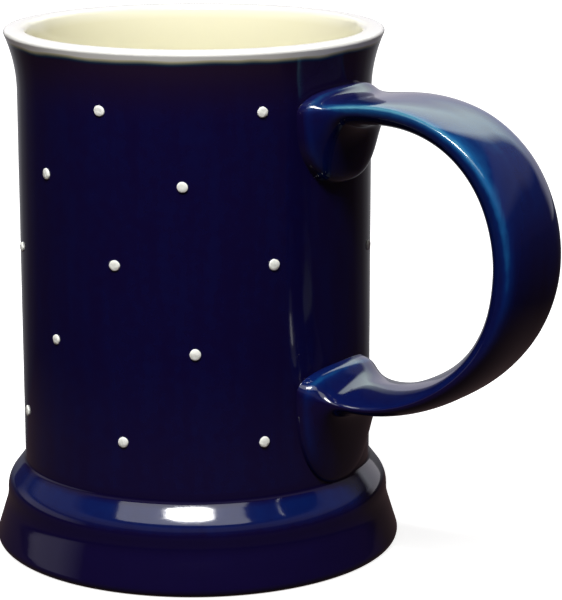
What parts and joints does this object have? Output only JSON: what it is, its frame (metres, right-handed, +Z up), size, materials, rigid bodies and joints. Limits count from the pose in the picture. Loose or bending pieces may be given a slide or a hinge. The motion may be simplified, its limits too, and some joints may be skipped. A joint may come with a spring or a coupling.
{
  "type": "beer mug",
  "caption": "Stoneware beer mug with flared lip, spreading foot and strap handle, glazed dark blue outside and cream inside, with raised white dots.",
  "frame": {"origin": "centre of the underside, on the mug's axis", "axes": "+Z up along the mug's axis, +X from the axis towards the handle"},
  "size_m": [0.1518, 0.1038, 0.132],
  "materials": {
    "cobalt_glaze": "gloss glaze, dark blue",
    "cream_glaze": "gloss glaze, cream",
    "white_slip": "raised white slip under clear glaze",
    "bare_clay": "unglazed wire-cut stoneware"
  },
  "bodies": {
    "root": {"mug": "cobalt_glaze"}
  },
  "joints": []
}
